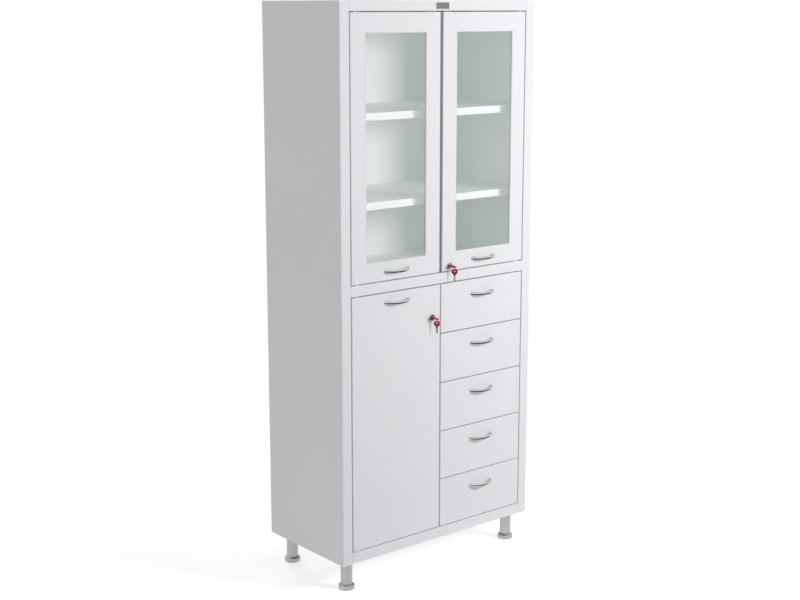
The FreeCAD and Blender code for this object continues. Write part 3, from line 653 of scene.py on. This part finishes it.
# Bow handles: oval steel bars bent in an arc, polished and chrome plated, each held by
# two screws from inside at 96 mm centres.
HANDLE_CENTRES = 96 * MM
DOOR_HANDLES = {"upper_left_door": "upper_left_handle", "upper_right_door": "upper_right_handle",
                "lower_door": "lower_door_handle"}
DRAWERS = ["drawer_%d" % number for number in range(1, 6)]


def polished_chrome(name):
    """Chrome plate with a faint haze of polishing lines along the bar."""
    chrome = Finish(name)
    lines = chrome.noise(1.0, 2.0, chrome.mapped(scale=(60, 700, 1800)))
    haze = chrome.noise(45.0, 3.0)
    tone = chrome.tint(haze, colour(0.55, 0.555, 0.56), colour(0.63, 0.635, 0.64))
    gloss = 0.03 + lines * 0.05 + haze * 0.03
    skin = chrome.principled({"Base Color": tone, "Metallic": 1.0, "Roughness": gloss,
                              "Normal": chrome.bump(lines, 0.04, 0.02 * MM)})
    return chrome.close(skin)


handles = list(DOOR_HANDLES.values()) + [drawer + "_handle" for drawer in DRAWERS]
dress(polished_chrome("polished_bar_chrome"), handles)
for body, handle in DOOR_HANDLES.items():
    bar = middle_of(handle)
    held = [(bar.x + side * HANDLE_CENTRES / 2, PAN_FACE, bar.z) for side in (-1, 1)]
    fasten(body + "_screws", body, door_screws.get(body, []) + held, (0, 1, 0), SCREW)


# Cam locks: turned and nickel-plated housings with a hexagon nut behind the sheet, and a
# plug with its keyway and cam. The faces keep the rings of the turning tool.
LOCKS = ["upper", "lower"]


def turned_nickel(name, axis):
    """Polished nickel with fine tool rings about a lock's axis."""
    nickel = Finish(name)
    centred = nickel.mapped(offset=(-axis[0], 0, -axis[2]))
    rings = nickel.node("ShaderNodeTexWave", {"wave_type": "RINGS", "rings_direction": "Y"},
                        {"Vector": centred, "Scale": 420.0, "Distortion": 0.6, "Detail": 1.0}, out=1)
    cloud = nickel.noise(90.0, 2.0)
    tone = nickel.tint(cloud, colour(0.50, 0.50, 0.50), colour(0.60, 0.60, 0.60))
    skin = nickel.principled({"Base Color": tone, "Metallic": 1.0, "Roughness": 0.16 + rings * 0.1,
                              "Normal": nickel.bump(rings, 0.12, 0.04 * MM)})
    return nickel.close(skin)


for lock in LOCKS:
    nickel = turned_nickel(lock + "_lock_nickel", JOINTS[lock + "_lock_turn"]["pos_m"])
    dress(nickel, [lock + "_lock_housing", lock + "_lock_barrel"])


# Keys: steel blades with cut teeth in red moulded heads. One key stands in each lock and
# a second hangs from it on a split ring of flat wire, wound twice.
HEAD_BACK, HEAD_AHEAD, HEAD_WIDTH = 6 * MM, 11 * MM, 20 * MM
HEAD_CORNER, HEAD_THICK, HEAD_EDGE = 7 * MM, 4 * MM, 0.9 * MM
HOLE_RADIUS, HOLE_STEPS = 3 * MM, 24
NECK_LENGTH, NECK_WIDTH, NECK_THICK = 4 * MM, 10 * MM, 3.2 * MM
NECK_EDGE, NECK_IN_HEAD, NECK_PROUD = 0.4 * MM, 1 * MM, 0.4 * MM
BLADE_TIP, BLADE_HALF, BLADE_THICK = 35 * MM, 3.4 * MM, 1.7 * MM
BLADE_EDGE, BLADE_IN_HEAD, SPINE_BEVEL, TIP_BEVEL = 0.2 * MM, 2 * MM, 2.2 * MM, 2.4 * MM
CUT_FIRST, CUT_PITCH, CUT_MOUTH, CUT_ROOT = 20.5 * MM, 3 * MM, 1.2 * MM, 0.4 * MM
CUT_DEPTHS = [1.1 * MM, 2 * MM, 0.7 * MM, 1.6 * MM]
KEY_TURN, SPARE_TURN = math.radians(-60), math.radians(30)
KEY_BRUSHING = (400, 2400, 400)
RING_RADIUS, RING_LEAN = 7.5 * MM, math.radians(55)
RING_CLEAR, KEY_SLACK = 0.3 * MM, 0.32 * MM
RING_WIDE, RING_THICK, RING_PITCH = 1.4 * MM, 0.55 * MM, 0.6 * MM
RING_TURNS, RING_STEPS = 2, 96


def moulded_red(name):
    """Red moulded plastic with a fine spark-eroded grain."""
    plastic = Finish(name)
    cloud = plastic.noise(120.0, 2.0)
    grain = plastic.noise(2600.0, 1.0)
    tone = plastic.tint(cloud, colour(0.36, 0.010, 0.016), colour(0.46, 0.016, 0.022))
    skin = plastic.principled({"Base Color": tone, "Roughness": 0.30 + grain * 0.14,
                               "Normal": plastic.bump(grain, 0.15, 0.04 * MM)})
    return plastic.close(skin)


def blade_outline():
    """Key blade seen flat, with its cuts on one edge."""
    start = HEAD_AHEAD - BLADE_IN_HEAD
    points = [(start, -BLADE_HALF), (BLADE_TIP - SPINE_BEVEL, -BLADE_HALF),
              (BLADE_TIP, SPINE_BEVEL - BLADE_HALF), (BLADE_TIP, BLADE_HALF - TIP_BEVEL),
              (BLADE_TIP - TIP_BEVEL, BLADE_HALF)]
    for i, depth in reversed(list(enumerate(CUT_DEPTHS))):
        at = CUT_FIRST + i * CUT_PITCH
        points += [(at + CUT_MOUTH, BLADE_HALF), (at + CUT_ROOT, BLADE_HALF - depth),
                   (at - CUT_ROOT, BLADE_HALF - depth), (at - CUT_MOUTH, BLADE_HALF)]
    return points + [(start, BLADE_HALF)]


def key_mesh(lie):
    """Key about its ring hole, blade along Y and head upright, then laid by a matrix."""
    upright = lie @ Matrix(((0, 0, 1, 0), (1, 0, 0, 0), (0, 1, 0, 0), (0, 0, 0, 1)))
    middle = (HEAD_AHEAD - HEAD_BACK) / 2
    outline = rounded_outline(HEAD_BACK + HEAD_AHEAD, HEAD_WIDTH, HEAD_CORNER, steps=8)
    outline = [(x + middle, y) for x, y in outline]
    turns = [math.tau * i / HOLE_STEPS for i in range(HOLE_STEPS)]
    hole = [(HOLE_RADIUS * math.cos(turn), HOLE_RADIUS * math.sin(turn)) for turn in turns]
    head = pressed([outline, hole], HEAD_THICK, HEAD_EDGE, upright, red_plastic)
    neck_from, neck_end = HEAD_AHEAD - NECK_IN_HEAD, HEAD_AHEAD + NECK_LENGTH
    neck = [(neck_from, -NECK_WIDTH / 2), (neck_end, -BLADE_HALF - NECK_PROUD),
            (neck_end, BLADE_HALF + NECK_PROUD), (neck_from, NECK_WIDTH / 2)]
    collar = pressed([neck], NECK_THICK, NECK_EDGE, upright, red_plastic)
    blade = pressed([blade_outline()], BLADE_THICK, BLADE_EDGE, upright, key_steel)
    return [head, collar, blade]


def split_ring(centre):
    """Flat wire wound twice about Y, its two ends cut square."""
    mesh = bpy.data.meshes.new("split_ring")
    shape = bmesh.new()
    half, thin, soft = RING_WIDE / 2, RING_THICK / 2, RING_THICK / 6
    section = [(-half, -thin + soft), (-half + soft, -thin), (half - soft, -thin), (half, -thin + soft),
               (half, thin - soft), (half - soft, thin), (-half + soft, thin), (-half, thin - soft)]
    rows = []
    for i in range(RING_STEPS + 1):
        wound = RING_TURNS * i / RING_STEPS
        out = Vector((math.cos(math.tau * wound), 0, math.sin(math.tau * wound)))
        along = RING_PITCH * (wound - RING_TURNS / 2)
        places = [centre + out * (RING_RADIUS + a) + Vector((0, along + b, 0)) for a, b in section]
        rows.append([shape.verts.new(place) for place in places])
    for row, following in zip(rows, rows[1:]):
        for i in range(len(section)):
            j = (i + 1) % len(section)
            shape.faces.new((row[i], row[j], following[j], following[i]))
    shape.faces.new(rows[0])
    shape.faces.new(rows[-1])
    bmesh.ops.recalc_face_normals(shape, faces=shape.faces)
    shape.to_mesh(mesh)
    shape.free()
    mesh.materials.append(key_steel.material)
    return mesh


red_plastic = moulded_red("moulded_red_plastic")
key_steel = satin_nickel("key_steel", KEY_BRUSHING)
for lock in LOCKS:
    hole = Vector(JOINTS[lock + "_ring_swing"]["pos_m"])
    lie = Matrix.Translation(hole) @ Matrix.Rotation(KEY_TURN, 4, "Y")
    first = seat(lock + "_key_in_lock", joined(key_mesh(lie)), lock + "_lock_key")
    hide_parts(lock + "_key")
    centre = hole + Vector((math.cos(RING_LEAN), 0, -math.sin(RING_LEAN))) * (RING_RADIUS + RING_CLEAR)
    below = centre - Vector((0, 0, RING_RADIUS + KEY_SLACK))
    hung = Matrix.Rotation(SPARE_TURN, 4, "Z") @ Matrix.Rotation(math.radians(-90), 4, "X")
    lie = Matrix.Translation(below) @ hung
    pair = joined(key_mesh(lie) + [split_ring(centre)])
    second = seat(lock + "_ring_and_key", pair, lock + "_ring_key")
    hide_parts(lock + "_spare_key")


# Lower door and drawers: folded fronts and welded trays in the same coated sheet. Two
# rows of blind rivets hold each tray's front wall to its front.
TRAY_RIVETS_ASIDE, TRAY_RIVETS_UP = [-126 * MM, 0.0, 126 * MM], [32 * MM, 112 * MM]
dress(white_coat, ["lower_door_panel"])
for drawer in DRAWERS:
    dress(white_coat, [drawer + "_front", drawer + "_tray"])
    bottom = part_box(drawer + "_front")[0].z
    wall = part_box(drawer + "_tray")[0].y + SHEET
    middle = middle_of(drawer + "_tray").x
    spots = [(middle + aside, wall, bottom + up) for aside in TRAY_RIVETS_ASIDE for up in TRAY_RIVETS_UP]
    fasten(drawer + "_rivets", drawer, spots, (0, 1, 0), RIVET)


# Drawer slides: roll-formed steel channels in three members, zinc plated, screwed to the
# partition and the uprights and riveted to the trays.
slides = ["slide_outer_members"]
for drawer in DRAWERS:
    slides += [drawer + "_slide_inner", drawer + "_slide_middle"]
dress(zinc_plate("slide_zinc"), slides)


# Magnetic catches under the top and middle rails: grey moulded cases with two steel
# poles on a flat plate fixed to the rail, and a strike plate on each door's back fold.
CATCHES = [("upper_left_door", -30 * MM, "top_panel"), ("upper_right_door", 30 * MM, "top_panel"),
           ("lower_door", -45 * MM, "middle_deck")]
BRACKET_IN, BRACKET_DEPTH, BRACKET_THICK = 4 * MM, 30 * MM, 0.9 * MM
BRACKET_CORNER, BRACKET_EDGE = 2 * MM, 0.2 * MM
CASE_WIDTH, CASE_DEPTH, CASE_HEIGHT = 32 * MM, 14 * MM, 13 * MM
CASE_CORNER, CASE_EDGE = 1.5 * MM, 0.5 * MM
POLE_WIDTH, POLE_THICK, POLE_LENGTH, POLE_PROUD = 28 * MM, 1.4 * MM, 4 * MM, 1 * MM
POLE_CORNER, POLE_EDGE, POLE_ASIDE = 0.3 * MM, 0.15 * MM, CASE_HEIGHT / 4
STRIKE_WIDTH, STRIKE_HEIGHT, STRIKE_THICK = 34 * MM, 9 * MM, 0.4 * MM
STRIKE_CORNER, STRIKE_EDGE, STRIKE_DOWN = 1.5 * MM, 0.1 * MM, 9 * MM
CATCH_GAP = 0.2 * MM
DOOR_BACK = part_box("lower_door_panel")[1].y


def grey_moulding(name):
    """Pale grey moulded plastic, matt."""
    plastic = Finish(name)
    cloud = plastic.noise(80.0, 3.0)
    tone = plastic.tint(cloud, colour(0.50, 0.50, 0.51), colour(0.58, 0.58, 0.59))
    skin = plastic.principled({"Base Color": tone, "Roughness": 0.5 + cloud * 0.1})
    return plastic.close(skin)


def level(x, y, z):
    """Lays a plate flat, its middle at a place."""
    return Matrix.Translation((x, y, z))


case_grey = grey_moulding("catch_grey")
bracket = rounded_outline(CASE_WIDTH, BRACKET_DEPTH, BRACKET_CORNER)
case = rounded_outline(CASE_WIDTH, CASE_HEIGHT, CASE_CORNER)
pole = rounded_outline(POLE_WIDTH, POLE_THICK, POLE_CORNER)
strike = rounded_outline(STRIKE_WIDTH, STRIKE_HEIGHT, STRIKE_CORNER)
bracket_y = FRONT + BRACKET_IN + BRACKET_DEPTH / 2
pole_tip = DOOR_BACK + STRIKE_THICK + CATCH_GAP
case_y = pole_tip + (CASE_DEPTH + POLE_PROUD) / 2
catches = []
for body, x, rail_of in CATCHES:
    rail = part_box(rail_of)[0].z
    lie = level(x, bracket_y, rail - BRACKET_THICK / 2)
    catches.append(pressed([bracket], BRACKET_THICK, BRACKET_EDGE, lie, bright_zinc))
    middle = rail - BRACKET_THICK - CASE_HEIGHT / 2
    lie = facing_front(x, case_y, middle)
    catches.append(pressed([case], CASE_DEPTH - POLE_PROUD, CASE_EDGE, lie, case_grey))
    for aside in (-POLE_ASIDE, POLE_ASIDE):
        lie = facing_front(x, pole_tip + POLE_LENGTH / 2, middle + aside)
        catches.append(pressed([pole], POLE_LENGTH, POLE_EDGE, lie, bright_zinc))
    lie = facing_front(x, DOOR_BACK + STRIKE_THICK / 2, rail - STRIKE_DOWN)
    seat(body + "_strike", pressed([strike], STRIKE_THICK, STRIKE_EDGE, lie, bright_zinc), body)
seat("door_catches", joined(catches), "carcass")


# Studio: soft lights from the front right and from behind, a broad far fill from the left,
# a plain surround, a pale floor that runs out to white, and a dark card for bright metal.
LIGHT_PLACE, LIGHT_AIM = Vector((1.48, -2.84, 1.95)), Vector((0.2, -0.19, 1.45))
LIGHT_WIDTH, LIGHT_HEIGHT, LIGHT_WATTS = 0.87, 0.75, 64.0
REAR_PLACE, REAR_AIM = Vector((0.9, 3.2, 1.3)), Vector((0.0, 0.2, 1.0))
REAR_WIDTH, REAR_HEIGHT, REAR_WATTS = 2.0, 1.8, 42.0
FILL_WAY, FILL_SPREAD, FILL_STRENGTH = Vector((0.97, 0.20, -0.15)), math.radians(30), 0.65
SURROUND, SURROUND_TINT = 0.30, colour(0.965, 0.96, 1.0)
WHITE, FLOOR_GREY = colour(1, 1, 1), colour(0.86, 0.86, 0.86)
FLOOR_SIZE, FLOOR_LIFT, FLOOR_FADE = 30.0, 0.57, (0.6, 1.8)
FELT_BLACK, FELT_WORN = colour(0.02, 0.02, 0.022), colour(0.04, 0.04, 0.042)
CARD_X, CARD_Y, CARD_UP = (-4.0, 4.0), (-4.4, -0.42), 0.001


def softbox(name, place, aim, width, height, watts):
    """Rectangular soft light that neither the camera nor bright metal sees."""
    light = bpy.data.lights.new(name, "AREA")
    light.shape = "RECTANGLE"
    light.size = width
    light.size_y = height
    light.energy = watts
    lamp = linked(name, light)
    lamp.location = place
    lamp.rotation_euler = (aim - place).to_track_quat("-Z", "Y").to_euler()
    lamp.visible_camera = lamp.visible_glossy = False


softbox("key_softbox", LIGHT_PLACE, LIGHT_AIM, LIGHT_WIDTH, LIGHT_HEIGHT, LIGHT_WATTS)
softbox("rear_softbox", REAR_PLACE, REAR_AIM, REAR_WIDTH, REAR_HEIGHT, REAR_WATTS)

fill = bpy.data.lights.new("fill", "SUN")
fill.energy = FILL_STRENGTH
fill.angle = FILL_SPREAD
far = linked("fill", fill)
far.rotation_euler = FILL_WAY.to_track_quat("-Z", "Y").to_euler()
far.visible_glossy = False

world = bpy.data.worlds.new("studio")
world.use_nodes = True
bpy.context.scene.world = world


def seen_directly(tree):
    """1 for what the camera sees, directly or in metal and glass, else 0."""
    path = tree.node("ShaderNodeLightPath", out="Is Camera Ray")
    return path + path.other("Is Glossy Ray") + path.other("Is Transmission Ray")


sky = Tree(world.node_tree)
soft = sky.node("ShaderNodeBackground", None, {"Color": SURROUND_TINT, "Strength": SURROUND})
plain = sky.node("ShaderNodeBackground", None, {"Color": WHITE, "Strength": 1.0})
sky.node("ShaderNodeOutputWorld", None,
         {"Surface": sky.node("ShaderNodeMixShader", None, {0: seen_directly(sky), 1: soft, 2: plain})})


def flat_sheet(name, xs, ys, up):
    """Level rectangle between two x and two y."""
    mesh = bpy.data.meshes.new(name)
    corners = ((xs[0], ys[0]), (xs[1], ys[0]), (xs[1], ys[1]), (xs[0], ys[1]))
    mesh.from_pydata([(x, y, up) for x, y in corners], [], [(0, 1, 2, 3)])
    return mesh


half = FLOOR_SIZE / 2
floor_mesh = flat_sheet("studio_floor", (-half, half), (-half, half), 0)
ground = Finish("studio_floor")
seen = seen_directly(ground)
matt = ground.node("ShaderNodeBsdfDiffuse", None, {"Color": FLOOR_GREY})
lift = ground.node("ShaderNodeEmission", None, {"Color": WHITE, "Strength": seen * FLOOR_LIFT})
near = ground.node("ShaderNodeAddShader", None, {0: matt, 1: lift})
white = ground.node("ShaderNodeEmission", None, {"Color": WHITE, "Strength": 1.0})
away = ground.node("ShaderNodeVectorMath", {"operation": "LENGTH"}, {0: ground.place}, 1)
fade = ground.ramp(away, *FLOOR_FADE) * seen
ground.close(ground.node("ShaderNodeMixShader", None, {0: fade, 1: near, 2: white}))
floor_mesh.materials.append(ground.material)
linked("studio_floor", floor_mesh)

card_mesh = flat_sheet("dark_card", CARD_X, CARD_Y, CARD_UP)
felt = Finish("dark_felt")
nap = felt.tint(felt.noise(60.0, 2.0), FELT_BLACK, FELT_WORN)
felt.close(felt.principled({"Base Color": nap, "Roughness": 1.0, "Specular IOR Level": 0.0}))
card_mesh.materials.append(felt.material)
card = linked("dark_card", card_mesh)
card.visible_camera = card.visible_diffuse = card.visible_transmission = card.visible_shadow = False


# Camera: to the left of the front at about eye height, looking slightly down, with the
# lens shifted a little as the photograph's framing needs.
EYE = (-2.932, -3.5438, 1.834)
YAW, PITCH = math.radians(39.447), math.radians(11.114)
LENS, SENSOR, SHIFT = 63.711, 36.0, -0.02

view = bpy.data.cameras.new("camera")
view.lens = LENS
view.sensor_width = SENSOR
view.shift_y = SHIFT
eye = linked("camera", view)
eye.location = EYE
eye.rotation_euler = (math.pi / 2 - PITCH, 0, -YAW)
bpy.context.scene.camera = eye
bpy.context.scene.view_settings.view_transform = "Standard"
